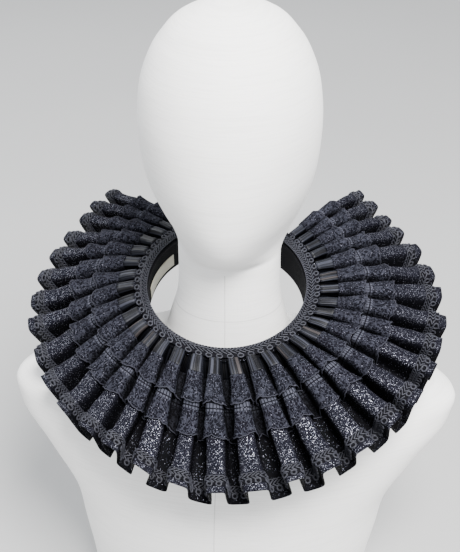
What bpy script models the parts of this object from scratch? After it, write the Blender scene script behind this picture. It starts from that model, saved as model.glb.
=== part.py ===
"""A pleated ruff collar resting on a limbless display form.

Metres, +Z up; the form faces -Y and the origin lies under its base, on the neck's axis.
"""

import math

import bmesh
import bpy
import numpy as np

# Collar at the neck
NECK_RADIUS = 0.0767  # inner face of the band
RING_TILT = math.radians(21)  # the collar sits lower in front
BAND_HEIGHT = 0.040
BAND_WALL = 0.0020
BAND_TOP_DROP = 0.0014  # the band's top edge stays this far under the neck braid
NECK_BRAID_WIDTH = 0.0138
NECK_BRAID_THICKNESS = 0.0024
NECK_BRAID_LIFT = 0.0016

# Ruffle, measured outwards along the cloth from the inner edge of the neck braid
RUFFLE_START = NECK_BRAID_WIDTH + 0.0003
SATIN_END = 0.0325
LACE_UPPER_END = 0.0600
LACE_LOWER_END = 0.0880
EDGE_BRAID_START = 0.1205
EDGE_BRAID_END = 0.1320
RUFFLE_END = 0.1380
RUFFLE_WALL = 0.0010
TRIM_WALL = 0.0010
SEAM_GAP = 0.0003
ARCH = 0.006  # how far the cloth bows up between its two edges where it lies level
ARCH_LOSS = 0.5  # the share of that bow which is gone where it droops most
SAG_WAVE = 0.0045  # there it is flatter at the neck and at the hem, and steeper between them, by this height
FULL_SAG = math.radians(38)

# Pleats
PLEATS = 32
FOLD_STEPS = (0.0, 0.14, 0.36, 0.5, 0.64, 0.86)  # places across one pleat, from ridge over valley to ridge
FOLD_WIDTH_INNER = 0.11  # how far a ridge bulges past its own half near the neck, as a share of the pitch
RIDGE_HEIGHT_START = 0.0027  # half the height from valley to ridge, next to the neck braid
RIDGE_HEIGHT_INNER = 0.0046
RIDGE_HEIGHT_OUTER = 0.0160
RISE_LENGTH = 0.018  # the pleats open to their inner height over this length
HEIGHT_UNEVEN = 0.13  # the pleats differ by up to this share in height
HEIGHT_WAVE = 2.4  # radians of that change for each pleat
PITCH_UNEVEN = 0.08  # and their places by up to this share of a pleat
PITCH_WAVES = (1.7, 0.6)

# How the ruffle lies, a row for every few pleats, from the wearer's right round the front: the place on the
# neck ring, how far the cloth turns from straight outwards and how far it droops below level, in degrees; how
# much of its length it spans where it buckles over the shoulder; and how far a ridge bulges past its own half
# at the hem
DRAPE = [
    # pleat, neck_angle, turn, droop, span, fold
    (0.5, -157, 18, 1, 1.00, 0.10),
    (4, -129, 4, 12, 1.00, 0.09),
    (7, -100, -4, 21, 0.985, 0.09),
    (9, -80, -4, 29, 0.94, 0.09),
    (11, -60, 4, 31, 0.90, 0.10),
    (13, -41, 11, 30, 0.91, 0.11),
    (15, -19, 9, 37, 0.975, 0.12),
    (18, 13, 8, 30, 1.00, 0.12),
    (21, 42, 9, 19, 1.00, 0.11),
    (25, 74, 15, 8, 1.00, 0.09),
    (29, 111, 15, 4, 1.00, 0.09),
    (32.5, 137, 6, -2, 1.00, 0.10),
]
DRAPE_STEP = 0.25  # pleats to each side when the strip's own direction is measured
REACH_STEP = 0.001

# Label on the band's inner face
LABEL_ANGLE = -97  # its front end, degrees
LABEL_LENGTH = 0.050
LABEL_HEIGHT = 0.016
LABEL_DROP = 0.018
LABEL_WALL = 0.0010
LABEL_SIDES = 14

# Display form, a row for each level: its height, half its width, its depth before and behind the neck's axis,
# how far it stands towards +X from the ring's centre, and how far its front narrows to a chin, where 1 is round
FORM = [
    # height, half_width, front, back, aside, chin
    (0.000, 0.146, 0.104, 0.092, 0.002, 1.0),
    (0.030, 0.148, 0.107, 0.092, 0.002, 1.0),
    (0.085, 0.157, 0.114, 0.095, 0.003, 1.0),
    (0.140, 0.168, 0.116, 0.101, 0.004, 1.0),
    (0.190, 0.197, 0.106, 0.106, 0.005, 1.0),
    (0.232, 0.221, 0.088, 0.106, 0.006, 1.0),
    (0.258, 0.215, 0.074, 0.102, 0.006, 1.0),
    (0.272, 0.178, 0.071, 0.097, 0.005, 1.0),
    (0.284, 0.128, 0.063, 0.092, 0.004, 1.0),
    (0.294, 0.087, 0.056, 0.086, 0.003, 1.0),
    (0.304, 0.0690, 0.0525, 0.079, 0.002, 1.0),
    (0.318, 0.0610, 0.0495, 0.069, 0.001, 1.0),
    (0.335, 0.0560, 0.0475, 0.060, 0.001, 1.0),
    (0.357, 0.0505, 0.0470, 0.055, 0.002, 1.0),
    (0.385, 0.0488, 0.0470, 0.053, 0.0025, 1.0),
    (0.402, 0.0488, 0.0472, 0.054, 0.0025, 1.0),
    (0.4065, 0.0490, 0.0480, 0.055, 0.0025, 1.1),
    (0.413, 0.0500, 0.0585, 0.058, 0.003, 1.5),
    (0.421, 0.0530, 0.0700, 0.063, 0.003, 1.95),
    (0.433, 0.0585, 0.0820, 0.072, 0.003, 2.1),
    (0.452, 0.0670, 0.0920, 0.083, 0.003, 1.75),
    (0.480, 0.0765, 0.0980, 0.094, 0.003, 1.35),
    (0.520, 0.0825, 0.1000, 0.101, 0.003, 1.1),
    (0.555, 0.0825, 0.0970, 0.101, 0.003, 1.0),
    (0.590, 0.0755, 0.0860, 0.092, 0.003, 1.0),
    (0.615, 0.0620, 0.0690, 0.076, 0.003, 1.0),
    (0.633, 0.0430, 0.0480, 0.053, 0.003, 1.0),
    (0.6415, 0.0240, 0.0270, 0.029, 0.003, 1.0),
]
FORM_TOP = 0.645
FORM_SIDES = 32
FORM_LEVEL_GAP = 0.034  # levels further apart than this get one more between them
FORM_TURN = math.radians(5)  # the form faces a little towards -X
SEAT_CLEARANCE = 0.0007  # level gap between the form and the band's lower edge where the collar rests
SEAT_RANGE = (0.30, 0.42)  # heights between which the ring's centre is sought
SEAT_HALVINGS = 30

RING_SIDES = 112  # steps along the band and the neck braid
MITER_LIMIT = 0.6  # a crease's offset grows by no more than one over this
SHARP_CLOTH = math.radians(75)
SHARP_FORM = math.radians(60)


def clear_scene():
    for obj in list(bpy.data.objects):
        bpy.data.objects.remove(obj, do_unlink=True)


def material(name, colour, roughness, metallic=0.0):
    made = bpy.data.materials.new(name)
    made.use_nodes = True
    shader = made.node_tree.nodes["Principled BSDF"]
    shader.inputs["Base Color"].default_value = (*colour, 1.0)
    shader.inputs["Roughness"].default_value = roughness
    shader.inputs["Metallic"].default_value = metallic
    made.diffuse_color = (*colour, 1.0)
    return made


def eased(places, values, at):
    """Values read off a smooth curve through the rows of a table."""
    places = np.asarray(places, float)
    values = np.asarray(values, float)
    slopes = np.gradient(values, places)
    at = np.asarray(at, float)
    low = np.clip(np.searchsorted(places, at) - 1, 0, len(places) - 2)
    step = places[low + 1] - places[low]
    t = (at - places[low]) / step
    return (
        (2 * t**3 - 3 * t**2 + 1) * values[low]
        + (t**3 - 2 * t**2 + t) * step * slopes[low]
        + (3 * t**2 - 2 * t**3) * values[low + 1]
        + (t**3 - t**2) * step * slopes[low + 1]
    )


def form_size(height):
    """The form's half width, front and back depth, place aside and chin at a height."""
    heights, *columns = zip(*FORM)
    return [eased(heights, column, height) for column in columns]


def form_clearance(point):
    """How far a point lies outside the form, measured level and away from the neck's axis."""
    half_width, front, back, aside, chin = form_size(point[2])
    x = point[0] - aside
    across = x * math.cos(FORM_TURN) - point[1] * math.sin(FORM_TURN)
    inwards = x * math.sin(FORM_TURN) + point[1] * math.cos(FORM_TURN)
    deep = (-inwards / front) ** (1 / chin) if inwards < 0 else inwards / back
    share = math.hypot(across / half_width, deep)
    return math.hypot(across, inwards) * (1 - 1 / share)


def ring_point(centre_height, angle, radius, lift):
    """A point by the tilted neck ring; angle 0 is the front, 90 degrees is +X, lift is square to the ring."""
    across = radius * np.sin(angle)
    inwards = -radius * np.cos(angle)
    return np.stack(
        [
            across,
            inwards * math.cos(RING_TILT) - lift * math.sin(RING_TILT),
            centre_height + inwards * math.sin(RING_TILT) + lift * math.cos(RING_TILT),
        ],
        axis=-1,
    )


def seat_height():
    """The height of the ring's centre at which the band's lower edge comes to rest on the form."""
    angles = np.radians(np.arange(DRAPE[0][1], DRAPE[-1][1] + 1))
    low, high = SEAT_RANGE
    for _ in range(SEAT_HALVINGS):
        middle = (low + high) / 2
        rim = ring_point(middle, angles, NECK_RADIUS, -BAND_HEIGHT)
        if min(form_clearance(point) for point in rim) > SEAT_CLEARANCE:
            high = middle
        else:
            low = middle
    return high


def drape(pleat):
    """Ring angle, turn and droop at a place along the ruffle, in radians, and its span and fold there."""
    pleats, *columns = zip(*DRAPE)
    angle, turn, droop, span, fold = [eased(pleats, column, pleat) for column in columns]
    return np.radians(angle), np.radians(turn), np.radians(droop), span, fold


def cloth_direction(angle, turn, droop):
    return np.stack(
        [
            np.cos(droop) * np.sin(angle + turn),
            -np.cos(droop) * np.cos(angle + turn),
            -np.sin(droop),
        ],
        axis=-1,
    )


def mean_surface(centre_height, pleat, reach):
    """The smooth surface that the pleats' ridges follow."""
    angle, turn, droop, span, _ = drape(pleat)
    share = reach / RUFFLE_END
    gone = reach * (1 - (1 - span) * share)
    point = ring_point(centre_height, angle, NECK_RADIUS, 0.0)
    point = point + cloth_direction(angle, turn, droop) * gone[..., None]
    sag = np.clip(droop / FULL_SAG, 0, 1)
    bow = ARCH * (1 - ARCH_LOSS * sag) * math.sin(math.pi * share)
    point[..., 2] += bow + SAG_WAVE * sag * math.sin(2 * math.pi * share)
    return point


def unit(vectors):
    return vectors / np.linalg.norm(vectors, axis=-1, keepdims=True)


def surface_axes(centre_height, pleat, reach):
    """Direction along the strip, direction up from the cloth, and the length of one pleat there."""
    before = mean_surface(centre_height, pleat - DRAPE_STEP, reach)
    along = mean_surface(centre_height, pleat + DRAPE_STEP, reach) - before
    pitch = np.linalg.norm(along, axis=-1, keepdims=True) / (2 * DRAPE_STEP)
    nearer = mean_surface(centre_height, pleat, reach - REACH_STEP)
    outwards = mean_surface(centre_height, pleat, reach + REACH_STEP) - nearer
    return unit(along), unit(np.cross(outwards, along)), pitch


def pleat_places():
    """Where each column of the strip stands: the pleat it is on and its place across that pleat."""
    whole = [pleat + step for pleat in range(1, PLEATS) for step in FOLD_STEPS]
    first = [step for step in FOLD_STEPS if step >= 0.5]
    last = [PLEATS + step for step in FOLD_STEPS if step <= 0.5]
    return np.array(first + whole + last)


def pleated_row(centre_height, reach):
    """One row of points along the whole ruffle, at one distance from the neck."""
    place = pleat_places()
    share = (reach - RUFFLE_START) / (RUFFLE_END - RUFFLE_START)
    rise = min(1.0, (reach - RUFFLE_START) / RISE_LENGTH)
    full = RIDGE_HEIGHT_INNER + (RIDGE_HEIGHT_OUTER - RIDGE_HEIGHT_INNER) * share
    height = RIDGE_HEIGHT_START + (full - RIDGE_HEIGHT_START) * rise
    height = height * (1 + HEIGHT_UNEVEN * share * np.sin(HEIGHT_WAVE * place))
    width = FOLD_WIDTH_INNER + (drape(place)[4] - FOLD_WIDTH_INNER) * math.sqrt(share)
    uneven = PITCH_UNEVEN * np.sin(PITCH_WAVES[0] * place) * np.sin(PITCH_WAVES[1] * place)
    along, up, pitch = surface_axes(centre_height, place + uneven, reach)
    crest = np.cos(2 * math.pi * place)
    lift = height * (crest * (1.5 - 0.5 * crest**2) - 1) + RIDGE_HEIGHT_START
    shift = width * np.sin(4 * math.pi * place)
    base = mean_surface(centre_height, place + uneven, reach)
    return base + along * pitch * shift[:, None] + up * lift[:, None]


def grid_normals(grid):
    """Upward normals at a grid's points, lengthened at its creases so that an offset keeps its thickness."""
    faces = np.cross(grid[1:, :-1] - grid[:-1, 1:], grid[1:, 1:] - grid[:-1, :-1])
    faces = unit(faces)
    rows, columns = grid.shape[:2]
    total = np.zeros_like(grid)
    count = np.zeros((rows, columns, 1))
    for row in (0, 1):
        for column in (0, 1):
            total[row : rows - 1 + row, column : columns - 1 + column] += faces
            count[row : rows - 1 + row, column : columns - 1 + column] += 1
    mean_length = np.linalg.norm(total, axis=-1, keepdims=True) / count
    return unit(total) / np.maximum(mean_length, MITER_LIMIT)


def shell(name, grid, thickness, look, collection):
    """A cloth wall: an open grid of points with Solidify, half its thickness to each side."""
    rows, columns = grid.shape[:2]
    faces = []
    for row in range(rows - 1):
        for column in range(columns - 1):
            first = row * columns + column
            faces.append((first, first + columns, first + columns + 1, first + 1))
    mesh = bpy.data.meshes.new(name)
    mesh.from_pydata(grid.reshape(-1, 3).tolist(), [], faces)
    mesh.shade_smooth()
    mesh.set_sharp_from_angle(angle=SHARP_CLOTH)
    obj = bpy.data.objects.new(name, mesh)
    collection.objects.link(obj)
    obj.data.materials.append(look)
    solidify = obj.modifiers.new("wall", "SOLIDIFY")
    solidify.thickness = thickness
    solidify.offset = 0.0
    solidify.use_even_offset = True
    solidify.use_quality_normals = True
    return obj


def ruffle_grid(centre_height):
    """The pleated strip's middle surface, with a row at each edge of each trim, and its normals."""
    reaches = [
        RUFFLE_START,
        SATIN_END,
        LACE_UPPER_END,
        LACE_LOWER_END,
        EDGE_BRAID_START,
        EDGE_BRAID_END,
        RUFFLE_END,
    ]
    grid = np.stack([pleated_row(centre_height, reach) for reach in reaches])
    return reaches, grid, grid_normals(grid)


def trim_grid(reaches, grid, normals, start, end):
    """The ruffle between two of its rows, lifted clear of it, each end drawn in by half a seam gap."""
    first, last = reaches.index(start), reaches.index(end)
    lift = RUFFLE_WALL / 2 + SEAM_GAP + TRIM_WALL / 2
    lifted = grid[first : last + 1] + normals[first : last + 1] * lift
    inset = SEAM_GAP / 2 / (end - start)
    whole = lifted[-1] - lifted[0]
    return np.stack([lifted[0] + whole * inset, lifted[-1] - whole * inset])


def make_neck_braid(centre_height, look, collection):
    place = np.linspace(DRAPE[0][0], DRAPE[-1][0], RING_SIDES)
    _, up, _ = surface_axes(centre_height, place, NECK_BRAID_WIDTH)
    inner = mean_surface(centre_height, place, 0.0)
    outer = mean_surface(centre_height, place, NECK_BRAID_WIDTH)
    grid = np.stack([inner, outer]) + up * NECK_BRAID_LIFT
    return shell("neck_braid", grid, NECK_BRAID_THICKNESS, look, collection)


def make_band(centre_height, look, collection):
    angles = np.radians(np.linspace(DRAPE[0][1], DRAPE[-1][1], RING_SIDES))
    radius = NECK_RADIUS + BAND_WALL / 2
    top = ring_point(centre_height, angles, radius, -BAND_TOP_DROP)
    bottom = ring_point(centre_height, angles, radius, -BAND_HEIGHT)
    return shell("neck_band", np.stack([top, bottom]), BAND_WALL, look, collection)


def make_label(centre_height, look, collection):
    sweep = math.degrees(LABEL_LENGTH / NECK_RADIUS)
    angles = np.radians(np.linspace(LABEL_ANGLE - sweep, LABEL_ANGLE, LABEL_SIDES))
    radius = NECK_RADIUS - SEAM_GAP - LABEL_WALL / 2
    top = ring_point(centre_height, angles, radius, -LABEL_DROP)
    bottom = ring_point(centre_height, angles, radius, -LABEL_DROP - LABEL_HEIGHT)
    return shell("label", np.stack([top, bottom]), LABEL_WALL, look, collection)


def form_ring(height):
    """One level section of the form: a front and a back half that meet at its sides."""
    half_width, front, back, aside, chin = form_size(height)
    turned = []
    for angle in np.linspace(0, 2 * math.pi, FORM_SIDES, endpoint=False):
        across = half_width * math.sin(angle)
        ahead = math.cos(angle)
        inwards = -front * ahead**chin if ahead > 0 else -back * ahead
        turned.append(
            (
                aside + across * math.cos(FORM_TURN) + inwards * math.sin(FORM_TURN),
                inwards * math.cos(FORM_TURN) - across * math.sin(FORM_TURN),
                height,
            )
        )
    return turned


def form_levels():
    """The table's own heights, with one more level between each pair that lies far apart."""
    heights = [row[0] for row in FORM]
    levels = []
    for low, high in zip(heights, heights[1:]):
        levels.append(low)
        if high - low > FORM_LEVEL_GAP:
            levels.append((low + high) / 2)
    return levels + heights[-1:]


def make_form(look, collection):
    body = bmesh.new()
    rings = [[body.verts.new(point) for point in form_ring(level)] for level in form_levels()]
    top = body.verts.new((FORM[-1][4], 0.0, FORM_TOP))
    body.faces.new(reversed(rings[0]))
    for lower, upper in zip(rings, rings[1:]):
        for i in range(FORM_SIDES):
            j = (i + 1) % FORM_SIDES
            body.faces.new((lower[i], lower[j], upper[j], upper[i]))
    for i in range(FORM_SIDES):
        body.faces.new((rings[-1][i], rings[-1][(i + 1) % FORM_SIDES], top))
    mesh = bpy.data.meshes.new("display_form")
    body.to_mesh(mesh)
    body.free()
    mesh.shade_smooth()
    mesh.set_sharp_from_angle(angle=SHARP_FORM)
    obj = bpy.data.objects.new("display_form", mesh)
    obj.data.materials.append(look)
    collection.objects.link(obj)
    return obj


def main():
    clear_scene()
    collection = bpy.data.collections.new("ruff_collar")
    bpy.context.scene.collection.children.link(collection)
    centre_height = seat_height()

    glitter = material("glitter_cloth", (0.012, 0.012, 0.016), 0.45, 0.2)
    satin = material("satin", (0.045, 0.045, 0.052), 0.35)
    lace = material("lace", (0.030, 0.030, 0.036), 0.85)
    braid = material("braid", (0.035, 0.036, 0.042), 0.7)
    band = material("band_cloth", (0.010, 0.010, 0.012), 0.9)
    label = material("label_cloth", (0.72, 0.68, 0.54), 0.7)
    linen = material("linen", (0.82, 0.80, 0.76), 0.85)

    reaches, grid, normals = ruffle_grid(centre_height)
    shell("ruffle", grid, RUFFLE_WALL, glitter, collection)
    trims = [
        ("satin_strip", RUFFLE_START, SATIN_END, satin),
        ("lace_upper", SATIN_END, LACE_UPPER_END, lace),
        ("lace_lower", LACE_UPPER_END, LACE_LOWER_END, lace),
        ("edge_braid", EDGE_BRAID_START, EDGE_BRAID_END, braid),
    ]
    for name, start, end, look in trims:
        shell(name, trim_grid(reaches, grid, normals, start, end), TRIM_WALL, look, collection)
    make_neck_braid(centre_height, braid, collection)
    make_band(centre_height, band, collection)
    make_label(centre_height, label, collection)
    make_form(linen, collection)


main()
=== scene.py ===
"""The looks of a pleated ruff collar on a limbless display form."""

import math

import bmesh
import bpy
import numpy as np
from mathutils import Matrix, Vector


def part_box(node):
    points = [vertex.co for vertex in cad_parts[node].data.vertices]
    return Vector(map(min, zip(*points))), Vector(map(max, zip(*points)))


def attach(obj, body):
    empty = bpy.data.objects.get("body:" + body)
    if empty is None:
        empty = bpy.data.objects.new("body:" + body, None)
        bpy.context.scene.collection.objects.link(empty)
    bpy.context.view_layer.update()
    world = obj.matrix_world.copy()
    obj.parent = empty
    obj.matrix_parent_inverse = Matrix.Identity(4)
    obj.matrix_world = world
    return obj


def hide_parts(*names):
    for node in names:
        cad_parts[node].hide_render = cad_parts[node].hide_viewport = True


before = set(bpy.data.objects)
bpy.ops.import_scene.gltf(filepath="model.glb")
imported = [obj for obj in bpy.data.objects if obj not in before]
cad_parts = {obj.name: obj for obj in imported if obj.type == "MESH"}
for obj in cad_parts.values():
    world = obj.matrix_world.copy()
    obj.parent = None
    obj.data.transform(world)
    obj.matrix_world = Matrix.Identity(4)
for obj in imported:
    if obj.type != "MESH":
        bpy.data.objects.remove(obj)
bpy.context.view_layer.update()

# Collar at the neck, as in the part's source, in metres
NECK_RADIUS = 0.0767
RING_TILT = math.radians(21)
BAND_HEIGHT = 0.040
BAND_WALL = 0.0020
BAND_TOP_DROP = 0.0014
NECK_BRAID_WIDTH = 0.0138
NECK_BRAID_LIFT = 0.0016
BAND_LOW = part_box("neck_band")[0].z
BAND_RISE = (NECK_RADIUS + BAND_WALL) * math.sin(RING_TILT) + BAND_HEIGHT * math.cos(RING_TILT)
CENTRE_HEIGHT = BAND_LOW + BAND_RISE

# Ruffle, measured outwards along the cloth
RUFFLE_START = NECK_BRAID_WIDTH + 0.0003
RUFFLE_TUCK = 0.007  # this much of the cloth runs on under the neck braid
TUCK_FADE = 0.0015  # its pleats run out over this length
TUCK_LEVEL = -0.0008  # and it lies this far off the surface that the pleats follow
SATIN_END = 0.0325
LACE_UPPER_END = 0.0600
LACE_LOWER_END = 0.0880
EDGE_BRAID_START = 0.1205
EDGE_BRAID_END = 0.1320
RUFFLE_END = 0.1380
ARCH = 0.006
ARCH_LOSS = 0.5
SAG_WAVE = 0.0045
FULL_SAG = math.radians(38)

# Pleats
PLEATS = 32
FOLD_WIDTH_INNER = 0.11
RIDGE_HEIGHT_START = 0.0027
RIDGE_HEIGHT_INNER = 0.0046
RIDGE_HEIGHT_OUTER = 0.0160
RISE_LENGTH = 0.018
HEIGHT_UNEVEN = 0.13
HEIGHT_WAVE = 2.4
PITCH_UNEVEN = 0.08
PITCH_WAVES = (1.7, 0.6)

# How the ruffle lies, a row for every few pleats: degrees, then the span and the fold as shares
DRAPE = [
    # pleat, neck_angle, turn, droop, span, fold
    (0.5, -157, 18, 1, 1.00, 0.10),
    (4, -129, 4, 12, 1.00, 0.09),
    (7, -100, -4, 21, 0.985, 0.09),
    (9, -80, -4, 29, 0.94, 0.09),
    (11, -60, 4, 31, 0.90, 0.10),
    (13, -41, 11, 30, 0.91, 0.11),
    (15, -19, 9, 37, 0.975, 0.12),
    (18, 13, 8, 30, 1.00, 0.12),
    (21, 42, 9, 19, 1.00, 0.11),
    (25, 74, 15, 8, 1.00, 0.09),
    (29, 111, 15, 4, 1.00, 0.09),
    (32.5, 137, 6, -2, 1.00, 0.10),
]
DRAPE_STEP = 0.25
REACH_STEP = 0.001

# Small unevenness that only the visible cloth has
SWAY = 0.040  # sideways, as a share of the pitch
SWAY_WAVES = (3.7, 45)  # radians for each pleat and for each metre outwards
DENT = 0.0013
DENT_WAVES = (5.3, 70)
DENT_CROSS_WAVES = (2.2, -110)
BOXY = 0.5  # how much flatter the ridges' tops are than the solid's
HEM_UNEVEN = 0.0012
HEM_WAVE = 4.1

# Cloth walls and how far each layer's middle lies above the ruffle's
RUFFLE_WALL = 0.0008
TRIM_WALL = 0.0004
LACE_FLARE = 0.0027  # a lace tier's free edge stands this much prouder than its sewn edge
SATIN_LIFT = 0.0009
LACE_UPPER_LIFT = 0.0016
LACE_LOWER_LIFT = 0.0010
BRAID_LIFT = 0.0008
PITCH_FLAT = 0.078  # length of cloth in one pleat, as the looks take it

RUFFLE_COLUMNS = 24  # to each pleat
RUFFLE_ROWS = 37
NORMAL_STEP = 0.004  # pleats to each side when the cloth's own direction is measured

# Cut length of what shows of each strip
NECK_BRAID_CUT = 0.43

# Satin
SATIN_COLUMNS = 36
SATIN_ROWS = 7
SATIN_TUCKS = 5  # in one pleat
TUCK_DEPTH = 0.0003
TUCK_UNEVEN = 0.15
TUCK_WAVE = 6.1
SEAM = 0.0004  # the satin starts this far outside the ruffle's own start
SATIN_UNDER = 0.0015  # and runs this far under the lace

# Lace
LACE_OVERLAP = 0.002  # the lower tier starts this far under the upper one
LACE_COLUMNS = 24
LACE_ROWS = 10
LACE_CORD_COLUMNS = 30
LACE_CORD_SIDES = 5
SCALLOPS = 2.6  # in one pleat
SCALLOP_ROUND = 0.7
PINK = 0.0005  # small waves along the arches
PINKS = 13
SCALLOP_DEPTH = 0.0044
CORD_RADIUS = 0.00055

# Braid
BRAID_REPEAT = 0.0083
STRAND_STEP = 0.0038  # the plait's strands are nested Vs, this far apart
STRAND_SLANT = 1.6  # how far along a strand goes for each metre across
STRAND_RISE = 0.0008
STRAND_RADIUS = 0.00064
STRAND_POINTS = 7
RING_RADIUS = 0.0023
RING_CORD = 0.00078
RING_POINTS = 15
CORD_SIDES = 6
PICOT_SIZE = 0.0009  # half the height of the small loops along the other edge
PICOT_CORD = 0.00048
PICOT_ROUND = 0.32  # how far a loop leans back over the one before, as a share of its repeat
PICOT_RISE = 0.0003
NECK_COLUMNS = 257  # round the neck, for its braid and its band
NECK_TAPE_ROWS = (0.0006, 0.0040, 0.0090, 0.0128)
NECK_TAPE_WALL = 0.0016
NECK_TAPE_OFF = -0.0002
NECK_CORD_OFF = 0.0009
NECK_PLAIT = 0.0053  # the plait's middle from the ring's inner edge
NECK_PLAIT_HALF = 0.0031  # and half its width
NECK_RINGS = 0.0114
NECK_PICOTS = 0.0014
EDGE_TAPE_INSET = 0.0010
EDGE_TAPE_ROWS = 4
EDGE_CORD_OFF = 0.0005
EDGE_PLAIT = 0.00455
EDGE_PLAIT_HALF = 0.0026
EDGE_RINGS = 0.0087
EDGE_PICOTS = 0.0010
EDGE_TRACK_COLUMNS = 64
NECK_PICOTS_EACH = 3  # small loops to each ring
NECK_PICOT_POINTS = 10
EDGE_PICOTS_EACH = 2
EDGE_PICOT_POINTS = 8

# Small marks in the looks: those in a metre, or a size in metres
FLAKES = 1500.0  # glitter
FLAKE_PATCHES = 160.0
KNIT = (1400.0, 700.0)
SATIN_FOLDS = 190.0
SATIN_GRAIN = (2600.0, 150.0)
LACE_SCROLLS = 270.0
LACE_LEAVES = 190.0
LACE_NET = 800.0
LACE_FLAKES = 1350.0
LADDER_SQUARE = 0.0021  # half the pitch of the squares
LADDER_ROW = 0.0026  # half the pitch of their rows
LADDER_END = 0.0074  # the squares stop this far from the lace's sewn edge
LADDER_FADE = 0.0006
CORD_TWIST = 1900.0
BRAID_RIBS = (1500.0, 500.0)
COTTON_WEAVE = 2400.0

# Label on the band's inner face
LABEL_ANGLE = -97
LABEL_LENGTH = 0.050
LABEL_HEIGHT = 0.016
LABEL_DROP = 0.018
LABEL_WALL = 0.0006
LABEL_OFF = 0.0008  # its middle stands this far in from the band's inner face
LABEL_COLUMNS = 40
LABEL_ROWS = 10
LABEL_HEM = 0.0014
LABEL_WEAVE = (900.0, 3200.0)  # threads in a metre

# Band
BAND_ROWS = 12
BAND_DENT = 0.0003
BAND_DENT_WAVES = (9, 90)  # radians for each radian round the neck and for each metre down

# Stitches along the band
STITCH_DROP = 0.0045
STITCH_LENGTH = 0.0014  # half of a stitch and its gap

# Display form
FRONT_SEAM = -0.002  # sideways from the neck's axis, at the depth below
FRONT_SEAM_DEPTH = 0.047  # in front of the axis
FRONT_SEAM_SLOPE = 0.16  # further sideways for each metre back from that depth
NECK_SEAM = 0.350
CHIN_HEIGHT = 0.40
FORM = [
    # height, half_width, front, back, aside, chin
    (0.000, 0.146, 0.104, 0.092, 0.002, 1.0),
    (0.030, 0.148, 0.107, 0.092, 0.002, 1.0),
    (0.085, 0.157, 0.114, 0.095, 0.003, 1.0),
    (0.140, 0.168, 0.116, 0.101, 0.004, 1.0),
    (0.190, 0.197, 0.106, 0.106, 0.005, 1.0),
    (0.232, 0.221, 0.088, 0.106, 0.006, 1.0),
    (0.258, 0.215, 0.074, 0.102, 0.006, 1.0),
    (0.272, 0.178, 0.071, 0.097, 0.005, 1.0),
    (0.284, 0.128, 0.063, 0.092, 0.004, 1.0),
    (0.294, 0.087, 0.056, 0.086, 0.003, 1.0),
    (0.304, 0.0690, 0.0525, 0.079, 0.002, 1.0),
    (0.318, 0.0610, 0.0495, 0.069, 0.001, 1.0),
    (0.335, 0.0560, 0.0475, 0.060, 0.001, 1.0),
    (0.357, 0.0505, 0.0470, 0.055, 0.002, 1.0),
    (0.385, 0.0488, 0.0470, 0.053, 0.0025, 1.0),
    (0.402, 0.0488, 0.0472, 0.054, 0.0025, 1.0),
    (0.4065, 0.0490, 0.0480, 0.055, 0.0025, 1.1),
    (0.413, 0.0500, 0.0585, 0.058, 0.003, 1.5),
    (0.421, 0.0530, 0.0700, 0.063, 0.003, 1.95),
    (0.433, 0.0585, 0.0820, 0.072, 0.003, 2.1),
    (0.452, 0.0670, 0.0920, 0.083, 0.003, 1.75),
    (0.480, 0.0765, 0.0980, 0.094, 0.003, 1.35),
    (0.520, 0.0825, 0.1000, 0.101, 0.003, 1.1),
    (0.555, 0.0825, 0.0970, 0.101, 0.003, 1.0),
    (0.590, 0.0755, 0.0860, 0.092, 0.003, 1.0),
    (0.615, 0.0620, 0.0690, 0.076, 0.003, 1.0),
    (0.633, 0.0430, 0.0480, 0.053, 0.003, 1.0),
    (0.6415, 0.0240, 0.0270, 0.029, 0.003, 1.0),
]
FORM_TOP = 0.645
FORM_SIDES = 128
FORM_LEVELS_BETWEEN = 5
FORM_TURN = math.radians(5)
FORM_SHARP = math.radians(60)  # the base's edge is sharper than this

# Camera: the photograph looks down on the collar from in front
CAMERA_DROP = math.radians(30)
CAMERA_FROM_RING = (0.0029, -0.9918, 0.5821)
CAMERA_LENS = 77.25
CAMERA_SENSOR = 36

# Studio
FLOOR_HALF = 6
WORLD_COLOUR = (0.93, 0.96, 1.0)
WORLD_STRENGTH = 1.25
LAMP_AIM = (0, 0, 0.35)
LAMPS = [
    # name, place, size, power, colour
    ("key", (0.5, -1.3, 2.3), 1.1, 210, (1.0, 0.985, 0.97)),
    ("back", (-0.8, 1.4, 1.9), 0.9, 30, (0.95, 0.97, 1.0)),
]


def eased(places, values, at):
    """Values read off a smooth curve through the rows of a table."""
    places = np.asarray(places, float)
    values = np.asarray(values, float)
    slopes = np.gradient(values, places)
    at = np.asarray(at, float)
    low = np.clip(np.searchsorted(places, at) - 1, 0, len(places) - 2)
    step = places[low + 1] - places[low]
    t = (at - places[low]) / step
    return (
        (2 * t**3 - 3 * t**2 + 1) * values[low]
        + (t**3 - 2 * t**2 + t) * step * slopes[low]
        + (3 * t**2 - 2 * t**3) * values[low + 1]
        + (t**3 - t**2) * step * slopes[low + 1]
    )


def unit(vectors):
    return vectors / np.linalg.norm(vectors, axis=-1, keepdims=True)


def ring_point(angle, radius, lift):
    """A point by the tilted neck ring: angle 0 is its front, 90 degrees +X, and lift is square to it."""
    across = radius * np.sin(angle)
    inwards = -radius * np.cos(angle)
    return np.stack(
        [
            across + 0 * lift,
            inwards * math.cos(RING_TILT) - lift * math.sin(RING_TILT),
            CENTRE_HEIGHT + inwards * math.sin(RING_TILT) + lift * math.cos(RING_TILT),
        ],
        axis=-1,
    )


def drape(pleat):
    """Ring angle, turn and droop at a place along the ruffle, in radians, and its span and fold there."""
    pleats, *columns = zip(*DRAPE)
    angle, turn, droop, span, fold = [eased(pleats, column, pleat) for column in columns]
    return np.radians(angle), np.radians(turn), np.radians(droop), span, fold


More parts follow.
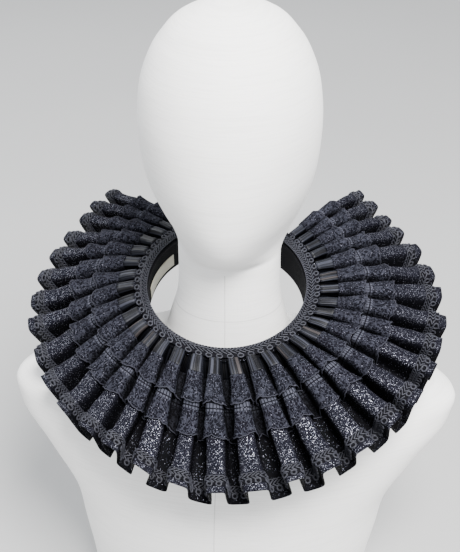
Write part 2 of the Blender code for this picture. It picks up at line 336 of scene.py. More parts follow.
def mean_surface(pleat, reach):
    """The smooth surface that the pleats' ridges follow."""
    angle, turn, droop, span, _ = drape(pleat)
    way = np.stack(
        [
            np.cos(droop) * np.sin(angle + turn),
            -np.cos(droop) * np.cos(angle + turn),
            -np.sin(droop),
        ],
        axis=-1,
    )
    reach = np.asarray(reach, float) + 0 * angle
    share = reach / RUFFLE_END
    gone = reach * (1 - (1 - span) * share)
    point = ring_point(angle, NECK_RADIUS, 0.0 * angle) + way * gone[..., None]
    sag = np.clip(droop / FULL_SAG, 0, 1)
    bow = ARCH * (1 - ARCH_LOSS * sag) * np.sin(math.pi * share)
    point[..., 2] += bow + SAG_WAVE * sag * np.sin(2 * math.pi * share)
    return point


def surface_axes(pleat, reach):
    """Direction along the strip, direction up from the cloth, and the length of one pleat there."""
    along = mean_surface(pleat + DRAPE_STEP, reach) - mean_surface(pleat - DRAPE_STEP, reach)
    pitch = np.linalg.norm(along, axis=-1) / (2 * DRAPE_STEP)
    outwards = mean_surface(pleat, reach + REACH_STEP) - mean_surface(pleat, reach - REACH_STEP)
    return unit(along), unit(np.cross(outwards, along)), pitch


def wave(steps, place, reach):
    """A slow wave over the cloth."""
    return np.sin(steps[0] * place + steps[1] * reach)


def flatter(crest):
    """The same wave with flatter ridges and valleys."""
    return crest * (1.5 - 0.5 * crest**2)


def cloth(place, reach):
    """The pleated strip's middle surface at any place along it and any reach outwards."""
    share = np.clip((reach - RUFFLE_START) / (RUFFLE_END - RUFFLE_START), 0, 1)
    rise = np.clip((reach - RUFFLE_START) / RISE_LENGTH, 0, 1)
    full = RIDGE_HEIGHT_INNER + (RIDGE_HEIGHT_OUTER - RIDGE_HEIGHT_INNER) * share
    height = RIDGE_HEIGHT_START + (full - RIDGE_HEIGHT_START) * rise
    height = height * (1 + HEIGHT_UNEVEN * share * np.sin(HEIGHT_WAVE * place))
    width = FOLD_WIDTH_INNER + (drape(place)[4] - FOLD_WIDTH_INNER) * np.sqrt(share)
    uneven = PITCH_UNEVEN * np.sin(PITCH_WAVES[0] * place) * np.sin(PITCH_WAVES[1] * place)
    along, up, pitch = surface_axes(place + uneven, reach)
    crest = flatter(np.cos(2 * math.pi * place))
    crest = crest + BOXY * share * (flatter(crest) - crest)
    lift = height * (crest - 1) + RIDGE_HEIGHT_START
    lift = lift + DENT * rise * wave(DENT_WAVES, place, reach) * wave(DENT_CROSS_WAVES, place, reach)
    hidden = np.clip((RUFFLE_START - reach) / TUCK_FADE, 0, 1)
    lift = lift * (1 - hidden) + TUCK_LEVEL * hidden
    shift = width * np.sin(4 * math.pi * place)
    shift = shift + SWAY * rise * wave(SWAY_WAVES, place, reach)
    base = mean_surface(place + uneven, reach)
    return base + along * (pitch * shift)[..., None] + up * lift[..., None]


def cloth_normal(place, reach):
    along = cloth(place + NORMAL_STEP, reach) - cloth(place - NORMAL_STEP, reach)
    outwards = cloth(place, reach + REACH_STEP / 2) - cloth(place, reach - REACH_STEP / 2)
    return unit(np.cross(outwards, along))


def on_cloth(place, reach, off):
    """A point that stands off the ruffle's middle surface, and the direction up from the cloth."""
    up = cloth_normal(place, reach)
    return cloth(place, reach) + up * np.asarray(off, float)[..., None], up


def on_ring(place, reach, off):
    """A point over the flat braid that covers the ruffle's seam, and the direction up from it."""
    _, up, _ = surface_axes(place, NECK_BRAID_WIDTH + 0 * place)
    return mean_surface(place, reach) + up * (NECK_BRAID_LIFT + off)[..., None], up


def strip_places(per_pleat):
    return np.linspace(0.5, PLEATS + 0.5, PLEATS * per_pleat + 1)


def grid_mesh(name, points, flat):
    """A mesh of four-sided faces through a grid of points; its UV map holds flat coordinates in metres."""
    rows, columns = points.shape[:2]
    index = np.arange(rows * columns).reshape(rows, columns)
    corners = [index[:-1, :-1], index[1:, :-1], index[1:, 1:], index[:-1, 1:]]
    faces = np.stack(corners, axis=-1).reshape(-1, 4)
    mesh = bpy.data.meshes.new(name)
    mesh.from_pydata(points.reshape(-1, 3).tolist(), [], faces.tolist())
    layer = mesh.uv_layers.new(name="flat")
    layer.data.foreach_set("uv", flat.reshape(-1, 2)[faces.reshape(-1)].astype(np.float32).reshape(-1))
    mesh.shade_smooth()
    return mesh


def new_object(name, data):
    """An object in the scene."""
    obj = bpy.data.objects.new(name, data)
    bpy.context.scene.collection.objects.link(obj)
    return obj


def add_piece(name, mesh, look, node=None):
    """Puts a mesh in the scene as a piece that rides with the part."""
    obj = new_object(name, mesh)
    obj.data.materials.append(look)
    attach(obj, "root")
    if node:
        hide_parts(node)
    return obj


def thicken(obj, wall):
    solidify = obj.modifiers.new("wall", "SOLIDIFY")
    solidify.thickness = wall
    solidify.offset = 0.0
    solidify.use_quality_normals = True


def tubes(name, lines, radius, sides):
    """Round cords along lines of points, each of which comes with its directions up from the cloth."""
    points, faces, start = [], [], 0
    turn = np.linspace(0, 2 * math.pi, sides, endpoint=False)
    for line, up in lines:
        ahead = unit(np.gradient(line, axis=0))
        side = unit(np.cross(ahead, up))
        over = np.cross(side, ahead)
        ring = side[:, None] * np.cos(turn)[None, :, None] + over[:, None] * np.sin(turn)[None, :, None]
        points.append((line[:, None] + ring * radius).reshape(-1, 3))
        index = start + np.arange(len(line) * sides).reshape(len(line), sides)
        following = np.roll(index, -1, axis=1)
        quads = np.stack([index[:-1], following[:-1], following[1:], index[1:]], axis=-1)
        faces.append(quads.reshape(-1, 4))
        start += len(line) * sides
    mesh = bpy.data.meshes.new(name)
    mesh.from_pydata(np.concatenate(points).tolist(), [], np.concatenate(faces).tolist())
    mesh.shade_smooth()
    return mesh


# Materials


class Look:
    """A Principled material whose nodes are added one at a time."""

    def __init__(self, name, roughness, shine=0.5):
        self.material = bpy.data.materials.new(name)
        self.material.use_nodes = True
        self.nodes = self.material.node_tree.nodes
        self.links = self.material.node_tree.links
        self.shader = self.nodes["Principled BSDF"]
        self.shader.inputs["Roughness"].default_value = roughness
        self.shader.inputs["Specular IOR Level"].default_value = shine

    def put(self, target, value):
        if isinstance(value, bpy.types.NodeSocket):
            self.links.new(value, target)
        elif isinstance(value, tuple) and len(value) == 3 and target.type == "RGBA":
            target.default_value = (*value, 1.0)
        else:
            target.default_value = value

    def node(self, kind, inputs, **settings):
        made = self.nodes.new(kind)
        for key, value in settings.items():
            setattr(made, key, value)
        for key, value in inputs.items():
            self.put(made.inputs[key], value)
        return made

    def math(self, operation, first, second=0.0):
        return self.node("ShaderNodeMath", {0: first, 1: second}, operation=operation).outputs[0]

    def step(self, value, low, high, to_low=0.0, to_high=1.0):
        """A value eased from to_low to to_high as another goes from low to high."""
        inputs = {"Value": value, "From Min": low, "From Max": high, "To Min": to_low, "To Max": to_high}
        return self.node("ShaderNodeMapRange", inputs, interpolation_type="SMOOTHSTEP").outputs["Result"]

    def mix(self, share, first, second):
        made = self.nodes.new("ShaderNodeMix")
        made.data_type = "RGBA"
        self.put(made.inputs["Factor"], share)
        colours = [socket for socket in made.inputs if socket.type == "RGBA"]
        self.put(colours[0], first)
        self.put(colours[1], second)
        return next(socket for socket in made.outputs if socket.type == "RGBA")

    def flat_place(self, along=1.0, outwards=1.0):
        """The piece's flat coordinates, scaled."""
        source = self.node("ShaderNodeUVMap", {}, uv_map="flat").outputs[0]
        return self.node("ShaderNodeMapping", {"Vector": source, "Scale": (along, outwards, 1.0)}).outputs[0]

    def space_place(self, x=1.0, y=1.0, z=1.0):
        """The piece's own coordinates in space, scaled."""
        source = self.node("ShaderNodeTexCoord", {}).outputs["Object"]
        return self.node("ShaderNodeMapping", {"Vector": source, "Scale": (x, y, z)}).outputs[0]

    def ridge(self):
        """One along a ridge of the ruffle, minus one along a valley."""
        along = self.node("ShaderNodeSeparateXYZ", {"Vector": self.flat_place()}).outputs[0]
        return self.math("COSINE", self.math("MULTIPLY", along, 2 * math.pi / PITCH_FLAT))

    def shade_valleys(self, colour, valley):
        """A colour with painted shade: darker down in the valleys between the ridges."""
        share = self.step(self.ridge(), 0.0, 0.80, valley, 1.0)
        scaled = self.node("ShaderNodeVectorMath", {0: colour, "Scale": share}, operation="SCALE")
        return scaled.outputs["Vector"]

    def noise(self, place, scale, detail=2.0, rough=0.5):
        inputs = {"Vector": place, "Scale": scale, "Detail": detail, "Roughness": rough}
        return self.node("ShaderNodeTexNoise", inputs).outputs["Fac"]

    def cells(self, place, scale, feature="F1"):
        return self.node("ShaderNodeTexVoronoi", {"Vector": place, "Scale": scale}, feature=feature)

    def bump(self, height, strength, distance, normal=None):
        inputs = {"Height": height, "Strength": strength, "Distance": distance}
        if normal is not None:
            inputs["Normal"] = normal
        return self.node("ShaderNodeBump", inputs).outputs[0]

    def finish(self, colour, **others):
        self.put(self.shader.inputs["Base Color"], colour)
        for name, value in others.items():
            self.put(self.shader.inputs[name.replace("_", " ").title()], value)
        return self.material


def glitter_look():
    """Black knit with small silver flakes that are thickest and brightest along the ridges, as painted
    highlight where light catches the ridge tops.
    """
    look = Look("glitter cloth", 0.7, 0.05)
    place = look.flat_place()
    flakes = look.cells(place, FLAKES)
    chance = look.node("ShaderNodeSeparateColor", {"Color": flakes.outputs["Color"]})
    ridge = look.ridge()
    # Painted highlight: flakes are chosen more often on the ridge tops than on the walls and valleys.
    glint_threshold = look.step(ridge, 0.15, 0.80, 0.87, 0.56)
    patches = look.step(look.noise(place, FLAKE_PATCHES, 2.0), 0.35, 0.65, 0.05, -0.03)
    chosen = look.math("GREATER_THAN", chance.outputs[0], look.math("ADD", glint_threshold, patches))
    core = look.step(flakes.outputs["Distance"], 0.34, 0.50, 1.0, 0.0)
    shine = look.math("MULTIPLY", chosen, core)
    ridge_glint = look.math("POWER", chance.outputs[2], 3.6)
    # Painted highlight: the bright flakes are dimmed away from the ridge tops.
    ridge_glint = look.math("MULTIPLY", ridge_glint, look.step(ridge, 0.2, 0.8, 0.35, 1.0))
    tint = look.mix(ridge_glint, (0.040, 0.042, 0.060), (0.50, 0.51, 0.60))
    knit = look.noise(look.flat_place(*KNIT), 1.0, 2.0)
    ground = look.mix(knit, (0.0015, 0.0015, 0.003), (0.008, 0.008, 0.013))
    # Painted shade darkens the knit ground down in the valleys.
    colour = look.mix(shine, look.shade_valleys(ground, 0.25), tint)
    roughness = look.step(shine, 0.0, 1.0, 0.75, 0.36)
    tilt = look.math("MULTIPLY", chance.outputs[1], shine)
    knit_bump = look.bump(knit, 0.5, 0.0003)
    normal = look.bump(tilt, 0.7, 0.0006, knit_bump)
    metal = look.math("MULTIPLY", shine, 0.8)
    return look.finish(colour, Metallic=metal, Roughness=roughness, Normal=normal)


def satin_look():
    """Charcoal satin in narrow tucks that run outwards, a few of them browner than the rest, with painted
    shade between the tucks and down in the valleys.
    """
    look = Look("satin", 0.46, 0.20)
    place = look.flat_place(1.0, 0.02)
    tone = look.node("ShaderNodeSeparateColor", {"Color": look.cells(place, SATIN_FOLDS).outputs["Color"]})
    grain = look.noise(look.flat_place(*SATIN_GRAIN), 1.0, 2.0)
    grey = look.mix(tone.outputs[0], (0.008, 0.009, 0.013), (0.030, 0.032, 0.044))
    brown = look.math("GREATER_THAN", tone.outputs[1], 0.96)
    toned = look.mix(brown, grey, (0.030, 0.026, 0.027))
    # Painted shade: near-black lines between the tucks, standing for the shade in their creases; the whole
    # colour also gets painted shade in the valleys.
    gap = look.cells(place, SATIN_FOLDS, "DISTANCE_TO_EDGE").outputs["Distance"]
    edge = look.step(gap, 0.02, 0.20)
    colour = look.shade_valleys(look.mix(edge, (0.002, 0.002, 0.003), toned), 0.15)
    fine = look.bump(grain, 0.1, 0.0001)
    normal = look.bump(edge, 0.5, 0.0006, fine)
    look.put(look.shader.inputs["Specular IOR Level"], look.step(look.ridge(), -0.2, 0.7, 0.01, 0.16))
    return look.finish(colour, Normal=normal)


def lace_look(name, start, ladder):
    """Corded net over black cloth; a ladder of small ribbon squares can run along its sewn edge."""
    look = Look(name, 0.78, 0.05)
    place = look.flat_place()
    scrolls = look.math("ABSOLUTE", look.math("SUBTRACT", look.noise(place, LACE_SCROLLS, 1.2), 0.5))
    scrolls = look.step(scrolls, 0.024, 0.054, 1.0, 0.0)
    leaves = look.step(look.noise(place, LACE_LEAVES, 1.0), 0.55, 0.62)
    gap = look.cells(place, LACE_NET, "DISTANCE_TO_EDGE").outputs["Distance"]
    net = look.step(gap, 0.04, 0.16, 1.0, 0.0)
    body = look.math("MAXIMUM", scrolls, look.math("MULTIPLY", leaves, 0.55))
    body = look.math("MAXIMUM", body, look.math("MULTIPLY", net, 0.08))
    holes = look.mix(look.noise(place, 900.0, 1.0), (0.001, 0.001, 0.002), (0.004, 0.004, 0.007))
    thread = look.mix(look.noise(place, 60.0, 2.0), (0.012, 0.0125, 0.018), (0.040, 0.042, 0.057))
    colour = look.mix(body, holes, thread)
    height = body
    if ladder:
        split = look.node("ShaderNodeSeparateXYZ", {"Vector": place})
        squares = look.math("PINGPONG", split.outputs[0], LADDER_SQUARE)
        level = look.math("SUBTRACT", split.outputs[1], start)
        rungs = look.math("PINGPONG", level, LADDER_ROW)
        inside = look.math("MULTIPLY", look.step(squares, 0.0003, 0.0007), look.step(rungs, 0.0003, 0.0008))
        band = look.step(level, LADDER_END, LADDER_END + LADDER_FADE, 1.0, 0.0)
        row = look.math("MULTIPLY", inside, band)
        ribbon = look.mix(look.noise(place, 420.0), (0.026, 0.027, 0.037), (0.062, 0.065, 0.084))
        colour = look.mix(row, look.mix(band, colour, (0.003, 0.003, 0.005)), ribbon)
        height = look.math("MAXIMUM", look.math("MULTIPLY", body, look.math("SUBTRACT", 1.0, band)), row)
    flakes = look.cells(place, LACE_FLAKES)
    chance = look.node("ShaderNodeSeparateColor", {"Color": flakes.outputs["Color"]})
    through = look.math("GREATER_THAN", chance.outputs[0], 0.97)
    shine = look.math("MULTIPLY", through, look.math("SUBTRACT", 1.0, body))
    # Painted highlight: the flakes that show through the net glint only on the ridge tops.
    shine = look.math("MULTIPLY", shine, look.step(look.ridge(), 0.0, 0.8))
    # Painted shade darkens the lace down in the valleys.
    colour = look.mix(shine, look.shade_valleys(colour, 0.25), (0.16, 0.16, 0.20))
    normal = look.bump(height, 0.8, 0.0006)
    return look.finish(colour, Metallic=look.math("MULTIPLY", shine, 0.6), Normal=normal)


def lace_cord_look():
    """The dark cord that outlines the lace."""
    look = Look("lace cord", 0.7, 0.15)
    twist = look.noise(look.space_place(), CORD_TWIST, 1.0)
    colour = look.mix(twist, (0.010, 0.010, 0.015), (0.040, 0.041, 0.055))
    return look.finish(colour, Normal=look.bump(twist, 0.6, 0.0003))


def braid_look():
    """Grey wound cord."""
    look = Look("braid cord", 0.5, 0.25)
    place = look.space_place()
    twist = look.noise(place, CORD_TWIST, 1.0)
    tone = look.noise(place, 45.0, 1.0)
    dark = look.mix(tone, (0.004, 0.004, 0.006), (0.009, 0.009, 0.013))
    light = look.mix(tone, (0.024, 0.025, 0.033), (0.054, 0.056, 0.072))
    colour = look.mix(look.step(twist, 0.38, 0.60), dark, light)
    return look.finish(colour, Normal=look.bump(twist, 0.6, 0.0003))


def braid_ground_look():
    """The braid's black ground under its cords."""
    look = Look("braid ground", 0.8, 0.08)
    rib = look.noise(look.flat_place(*BRAID_RIBS), 1.0, 1.0)
    colour = look.mix(rib, (0.001, 0.001, 0.002), (0.005, 0.005, 0.007))
    return look.finish(colour, Normal=look.bump(rib, 0.6, 0.0004))


def dark_cloth_look():
    """Matte black cotton with a row of stitches near its upper edge."""
    look = Look("black cotton", 0.9, 0.10)
    place = look.flat_place()
    weave = look.noise(look.flat_place(COTTON_WEAVE, COTTON_WEAVE), 1.0, 1.0)
    tone = look.noise(place, 60.0, 3.0)
    raised = look.mix(tone, (0.005, 0.005, 0.006), (0.010, 0.0095, 0.011))
    colour = look.mix(weave, (0.002, 0.002, 0.003), raised)
    split = look.node("ShaderNodeSeparateXYZ", {"Vector": place})
    beside = look.math("ABSOLUTE", look.math("SUBTRACT", split.outputs[1], STITCH_DROP))
    on_line = look.step(beside, 0.0002, 0.0004, 1.0, 0.0)
    on_stitch = look.step(look.math("PINGPONG", split.outputs[0], STITCH_LENGTH), 0.0004, 0.0007)
    stitch = look.math("MULTIPLY", on_line, on_stitch)
    colour = look.mix(stitch, colour, (0.020, 0.020, 0.024))
    fine = look.bump(weave, 0.5, 0.0003)
    return look.finish(colour, Normal=look.bump(stitch, 0.6, 0.0004, fine))


def label_look():
    """Plain cream satin-woven tape with a folded hem at each edge; its cream is darkened as painted shade.
    """
    look = Look("label tape", 0.5)
    weave = look.noise(look.flat_place(*LABEL_WEAVE), 1.0, 1.0)
    tone = look.noise(look.flat_place(), 120.0, 2.0)
    # Painted shade: the cream is darkened, as the label sits in the shade inside the band.
    colour = look.mix(tone, (0.40, 0.38, 0.29), (0.54, 0.52, 0.43))
    split = look.node("ShaderNodeSeparateXYZ", {"Vector": look.flat_place()})
    across = look.math("SUBTRACT", split.outputs[1], LABEL_DROP + LABEL_HEIGHT / 2)
    from_edge = look.math("SUBTRACT", LABEL_HEIGHT / 2, look.math("ABSOLUTE", across))
    from_fold = look.math("ABSOLUTE", look.math("SUBTRACT", from_edge, LABEL_HEM))
    hem = look.step(from_fold, 0.0001, 0.0003, 1.0, 0.0)
    colour = look.mix(look.math("MULTIPLY", hem, 0.6), colour, (0.36, 0.32, 0.20))
    fine = look.bump(weave, 0.4, 0.0002)
    return look.finish(colour, Normal=look.bump(hem, -0.6, 0.0003, fine))


def linen_look():
    """Off-white linen drawn tight over the form, with level slubs and sewn seams."""
    look = Look("linen", 0.85)
    slubs = look.noise(look.space_place(26.0, 26.0, 900.0), 1.0, 3.0, 0.6)
    warp = look.noise(look.space_place(900.0, 900.0, 22.0), 1.0, 2.0)
    tone = look.noise(look.space_place(), 9.0, 2.0)
    plain = look.mix(tone, (0.92, 0.915, 0.90), (0.95, 0.945, 0.93))
    threads = look.step(slubs, 0.34, 0.58)
    colour = look.mix(threads, look.mix(0.22, plain, (0.66, 0.65, 0.63)), plain)
    split = look.node("ShaderNodeSeparateXYZ", {"Vector": look.space_place()})
    x, y, z = split.outputs
    bend = look.math("MULTIPLY", look.math("SUBTRACT", y, -FRONT_SEAM_DEPTH), FRONT_SEAM_SLOPE)
    beside = look.math("ABSOLUTE", look.math("SUBTRACT", look.math("SUBTRACT", x, FRONT_SEAM), bend))
    in_front = look.math("MULTIPLY", look.math("LESS_THAN", y, 0.0), look.math("LESS_THAN", z, CHIN_HEIGHT))
    front = look.math("MULTIPLY", look.step(beside, 0.0002, 0.0007, 1.0, 0.0), in_front)
    above = look.math("ABSOLUTE", look.math("SUBTRACT", z, NECK_SEAM))
    ring = look.step(above, 0.0002, 0.0008, 1.0, 0.0)
    seam = look.math("MAXIMUM", front, look.math("MULTIPLY", ring, 0.7))
    colour = look.mix(look.math("MULTIPLY", seam, 0.55), colour, (0.40, 0.39, 0.38))
    weave = look.math("ADD", look.math("MULTIPLY", slubs, 0.6), look.math("MULTIPLY", warp, 0.4))
    fine = look.bump(weave, 0.35, 0.0006)
    return look.finish(colour, Normal=look.bump(seam, -0.6, 0.0008, fine))


def floor_look():
    look = Look("pale floor", 0.9)
    tone = look.noise(look.space_place(), 1.5, 2.0)
    return look.finish(look.mix(tone, (0.40, 0.40, 0.397), (0.44, 0.44, 0.437)))


# Pieces


def make_shell(name, per_pleat, reaches, lift, wall, look, node):
    """A layer of the ruffle's cloth; reaches(place) gives its rows and lift(place, reach) its height."""
    place = strip_places(per_pleat)[None, :]
    reach = reaches(place)
    place = place + 0 * reach
    points = on_cloth(place, reach, lift(place, reach))[0] if lift else cloth(place, reach)
    flat = np.stack([place * PITCH_FLAT, reach], axis=-1)
    obj = add_piece(name, grid_mesh(name, points, flat), look, node)
    thicken(obj, wall)
    return obj


def scalloped(place, end):
    """Where the lace ends: arches with a finely waved edge."""
    arch = 1 - np.abs(np.cos(SCALLOPS * math.pi * place)) ** SCALLOP_ROUND
    return end - SCALLOP_DEPTH * arch + PINK * np.sin(2 * math.pi * PINKS * place)


def rows_between(start, end, rows):
    """Reaches from start to an edge that may change along the strip."""
    share = np.linspace(0, 1, rows)[:, None]
    return lambda place: start + (end(place) - start) * share


def make_ruffle(look):
    def hem(place):
        return RUFFLE_END + HEM_UNEVEN * np.sin(HEM_WAVE * place)

    return make_shell(
        "ruffle_cloth",
        RUFFLE_COLUMNS,
        rows_between(RUFFLE_START - RUFFLE_TUCK, hem, RUFFLE_ROWS),
        None,
        RUFFLE_WALL,
        look,
        "ruffle",
    )


def make_satin(look):
    def lift(place, reach):
        tuck = place * SATIN_TUCKS + TUCK_UNEVEN * np.sin(TUCK_WAVE * place)
        return SATIN_LIFT + TUCK_DEPTH * np.sin(2 * math.pi * tuck)

    rows = rows_between(RUFFLE_START + SEAM, lambda place: SATIN_END + SATIN_UNDER + 0 * place, SATIN_ROWS)
    return make_shell("satin_cloth", SATIN_COLUMNS, rows, lift, TRIM_WALL, look, "satin_strip")


def make_lace(name, start, end, base, look, cord_look, node):
    """One tier of lace and the cord along its scalloped edge."""

    def lift(place, reach):
        share = (reach - start) / (end - start)
        return base + LACE_FLARE * share**2

    rows = rows_between(start, lambda place: scalloped(place, end), LACE_ROWS)
    tier = make_shell(name, LACE_COLUMNS, rows, lift, TRIM_WALL, look, node)
    place = strip_places(LACE_CORD_COLUMNS)
    reach = scalloped(place, end)
    line = on_cloth(place, reach, lift(place, reach))
    edge = tubes(name + "_cord", [line], CORD_RADIUS, LACE_CORD_SIDES)
    return tier, add_piece(name + "_cord", edge, cord_look)


def strand_lines(length, at, middle, half, lift):
    """Lines of the plait's strands: each slants forwards from the plait's middle to both its edges."""
    across = np.linspace(-half, half, STRAND_POINTS)[None, :]
    rise = STRAND_RISE * (1 - (across / half) ** 2)
    starts = np.arange(int(length / STRAND_STEP))[:, None] * STRAND_STEP
    run = starts + STRAND_SLANT * np.abs(across)
    return list(zip(*at(run, middle + across + 0 * run, lift + rise + 0 * run)))


def ring_lines(length, at, middle, lift):
    """Round rings of cord side by side along the braid's outer edge."""
    turn = np.linspace(0, 2 * math.pi, RING_POINTS)[None, :]
    centres = (np.arange(int(length / BRAID_REPEAT))[:, None] + 0.5) * BRAID_REPEAT
    run = centres + RING_RADIUS * np.cos(turn)
    return list(zip(*at(run, middle + RING_RADIUS * np.sin(turn) + 0 * run, lift + 0 * run)))


def picot_line(length, at, middle, lift, repeat, steps):
    """A line of small loops along the braid's inner edge."""
    run = np.linspace(0, length, int(length / repeat * steps))
    phase = 2 * math.pi * run / repeat
    back = run - PICOT_ROUND * repeat * np.sin(phase)
    return at(back, middle + PICOT_SIZE * np.cos(phase), lift + PICOT_RISE * np.cos(phase))


def make_cords(name, strands, rings, picots, look):
    """A braid's strands, its rings and its small loops, a piece for each."""
    pieces = []
    for end, lines, radius in (
        ("_strands", strands, STRAND_RADIUS),
        ("_rings", rings, RING_CORD),
        ("_picots", [picots], PICOT_CORD),
    ):
        mesh = tubes(name + end, lines, radius, CORD_SIDES)
        pieces.append(add_piece(name + end, mesh, look))
    return pieces


def make_neck_braid(cord_look, base_look):
    length = NECK_BRAID_CUT
    ends = np.array([DRAPE[0][0], DRAPE[-1][0]])

    def at(run, across, off):
        place = ends[0] + (ends[1] - ends[0]) * np.clip(run / length, 0, 1)
        return on_ring(place, across, off)

    place = np.linspace(*ends, NECK_COLUMNS)[None, :]
    reach = np.array(NECK_TAPE_ROWS)[:, None]
    place, reach = place + 0 * reach, reach + 0 * place
    points, _ = on_ring(place, reach, 0 * place + NECK_TAPE_OFF)
    flat = np.stack([place * length / PLEATS, reach], axis=-1)
    mesh = grid_mesh("neck_braid_tape", points, flat)
    base = add_piece("neck_braid_tape", mesh, base_look, "neck_braid")
    thicken(base, NECK_TAPE_WALL)
    strands = strand_lines(length, at, NECK_PLAIT, NECK_PLAIT_HALF, NECK_CORD_OFF)
    rings = ring_lines(length, at, NECK_RINGS, NECK_CORD_OFF)
    repeat = BRAID_REPEAT / NECK_PICOTS_EACH
    picots = picot_line(length, at, NECK_PICOTS, NECK_CORD_OFF, repeat, NECK_PICOT_POINTS)
    return base, make_cords("neck_braid", strands, rings, picots, cord_look)


def make_edge_braid(cord_look, base_look):
    middle = (EDGE_BRAID_START + EDGE_BRAID_END) / 2
    dense = strip_places(EDGE_TRACK_COLUMNS)
    track = cloth(dense, middle + 0 * dense)
    gone = np.concatenate([[0], np.cumsum(np.linalg.norm(np.diff(track, axis=0), axis=1))])
    length = float(gone[-1])

    def at(run, across, off):
        return on_cloth(np.interp(run, gone, dense), EDGE_BRAID_START + across, BRAID_LIFT + off)

    def tape_end(place):
        return EDGE_BRAID_END - EDGE_TAPE_INSET + 0 * place

    def tape_lift(place, reach):
        return BRAID_LIFT + 0 * reach

    rows = rows_between(EDGE_BRAID_START + EDGE_TAPE_INSET, tape_end, EDGE_TAPE_ROWS)
    base = make_shell(
        "edge_braid_tape", RUFFLE_COLUMNS, rows, tape_lift, TRIM_WALL, base_look, "edge_braid"
    )
    strands = strand_lines(length, at, EDGE_PLAIT, EDGE_PLAIT_HALF, EDGE_CORD_OFF)
    rings = ring_lines(length, at, EDGE_RINGS, EDGE_CORD_OFF)
    repeat = BRAID_REPEAT / EDGE_PICOTS_EACH
    picots = picot_line(length, at, EDGE_PICOTS, EDGE_CORD_OFF, repeat, EDGE_PICOT_POINTS)
    return base, make_cords("edge_braid", strands, rings, picots, cord_look), length


def neck_cloth(name, angles, drops, radius, wall, look, node):
    """Cloth that stands round the neck at this radius."""
    points = ring_point(angles + 0 * drops, radius + 0 * drops, -drops + 0 * angles)
    flat = np.stack([angles * NECK_RADIUS + 0 * drops, drops + 0 * angles], axis=-1)
    obj = add_piece(name, grid_mesh(name, points, flat), look, node)
    thicken(obj, wall)
    return obj


def make_band(look):
    angles = np.radians(np.linspace(DRAPE[0][1], DRAPE[-1][1], NECK_COLUMNS))[None, :]
    drops = np.linspace(BAND_TOP_DROP, BAND_HEIGHT, BAND_ROWS)[:, None]
    dent = BAND_DENT * np.sin(BAND_DENT_WAVES[0] * angles) * np.sin(BAND_DENT_WAVES[1] * drops)
    radius = NECK_RADIUS + BAND_WALL / 2 + dent
    return neck_cloth("neck_band_cloth", angles, drops, radius, BAND_WALL, look, "neck_band")


def make_label(look):
    sweep = math.degrees(LABEL_LENGTH / NECK_RADIUS)
    angles = np.radians(np.linspace(LABEL_ANGLE - sweep, LABEL_ANGLE, LABEL_COLUMNS))[None, :]
    drops = LABEL_DROP + np.linspace(0, LABEL_HEIGHT, LABEL_ROWS)[:, None]
    radius = NECK_RADIUS - LABEL_OFF + 0 * angles
    return neck_cloth("label_tape", angles, drops, radius, LABEL_WALL, look, "label")


def form_levels():
    heights = [row[0] for row in FORM]
    levels = []
    for low, high in zip(heights, heights[1:]):
        levels.extend(np.linspace(low, high, FORM_LEVELS_BETWEEN, endpoint=False))
    return np.array(levels + heights[-1:])


def make_form(look):
    heights, *columns = zip(*FORM)
    levels = form_levels()
    half_width, front, back, aside, chin = [eased(heights, column, levels)[:, None] for column in columns]
    angles = np.linspace(0, 2 * math.pi, FORM_SIDES, endpoint=False)[None, :]
    across = half_width * np.sin(angles)
    ahead = np.cos(angles)
    inwards = np.where(ahead > 0, -front * np.abs(ahead) ** chin, -back * ahead)
    x = aside + across * math.cos(FORM_TURN) + inwards * math.sin(FORM_TURN)
    y = inwards * math.cos(FORM_TURN) - across * math.sin(FORM_TURN)
    points = np.stack([x, y, levels[:, None] + 0 * x], axis=-1)
    body = bmesh.new()
    rings = [[body.verts.new(point) for point in row] for row in points.tolist()]
    top = body.verts.new((FORM[-1][4], 0.0, FORM_TOP))
    body.faces.new(reversed(rings[0]))
    for lower, upper in zip(rings, rings[1:]):
        for i in range(FORM_SIDES):
            j = (i + 1) % FORM_SIDES
            body.faces.new((lower[i], lower[j], upper[j], upper[i]))
    for i in range(FORM_SIDES):
        body.faces.new((rings[-1][i], rings[-1][(i + 1) % FORM_SIDES], top))
    mesh = bpy.data.meshes.new("form_linen")
    body.to_mesh(mesh)
    body.free()
    mesh.shade_smooth()
    mesh.set_sharp_from_angle(angle=FORM_SHARP)
    return add_piece("form_linen", mesh, look, "display_form")


# Studio


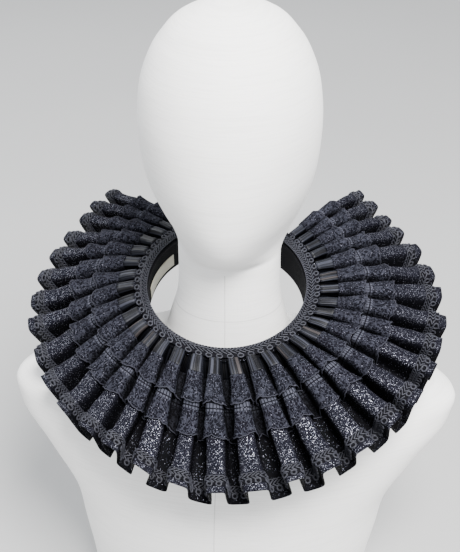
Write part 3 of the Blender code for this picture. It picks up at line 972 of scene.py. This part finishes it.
def make_floor():
    mesh = bpy.data.meshes.new("floor")
    corners = [(x * FLOOR_HALF, y * FLOOR_HALF, 0) for x, y in ((-1, -1), (1, -1), (1, 1), (-1, 1))]
    mesh.from_pydata(corners, [], [(0, 1, 2, 3)])
    floor = new_object("floor", mesh)
    floor.data.materials.append(floor_look())


def make_lamp(name, place, size, power, colour):
    data = bpy.data.lights.new(name, "AREA")
    data.shape = "DISK"
    data.size = size
    data.energy = power
    data.color = colour
    lamp = new_object(name, data)
    lamp.location = place
    way = np.array(LAMP_AIM) - np.array(place)
    lamp.rotation_euler = (math.atan2(math.hypot(way[0], way[1]), -way[2]), 0, math.atan2(-way[0], way[1]))


def make_light():
    world = bpy.data.worlds.new("studio")
    world.use_nodes = True
    backdrop = world.node_tree.nodes["Background"]
    backdrop.inputs["Color"].default_value = (*WORLD_COLOUR, 1.0)
    backdrop.inputs["Strength"].default_value = WORLD_STRENGTH
    bpy.context.scene.world = world
    for lamp in LAMPS:
        make_lamp(*lamp)


def make_camera():
    data = bpy.data.cameras.new("camera")
    data.lens = CAMERA_LENS
    data.sensor_width = CAMERA_SENSOR
    camera = new_object("camera", data)
    x, y, rise = CAMERA_FROM_RING
    camera.location = (x, y, CENTRE_HEIGHT + rise)
    camera.rotation_euler = (math.pi / 2 - CAMERA_DROP, 0, 0)
    bpy.context.scene.camera = camera


make_camera()
make_light()
make_floor()
cord_look = braid_look()
cotton_look = dark_cloth_look()
arch_look = lace_cord_look()
ground_look = braid_ground_look()
ruffle = make_ruffle(glitter_look())
satin = make_satin(satin_look())
upper_look = lace_look("upper lace", SATIN_END, False)
upper, upper_cord = make_lace(
    "lace_upper_net", SATIN_END, LACE_UPPER_END, LACE_UPPER_LIFT, upper_look, arch_look, "lace_upper"
)
lower_start = LACE_UPPER_END - LACE_OVERLAP
lower_look = lace_look("lower lace", lower_start, True)
lower, lower_cord = make_lace(
    "lace_lower_net", lower_start, LACE_LOWER_END, LACE_LOWER_LIFT, lower_look, arch_look, "lace_lower"
)
neck_tape, neck_cords = make_neck_braid(cord_look, ground_look)
edge_tape, edge_cords, edge_length = make_edge_braid(cord_look, ground_look)
band = make_band(cotton_look)
label = make_label(label_look())
make_form(linen_look())
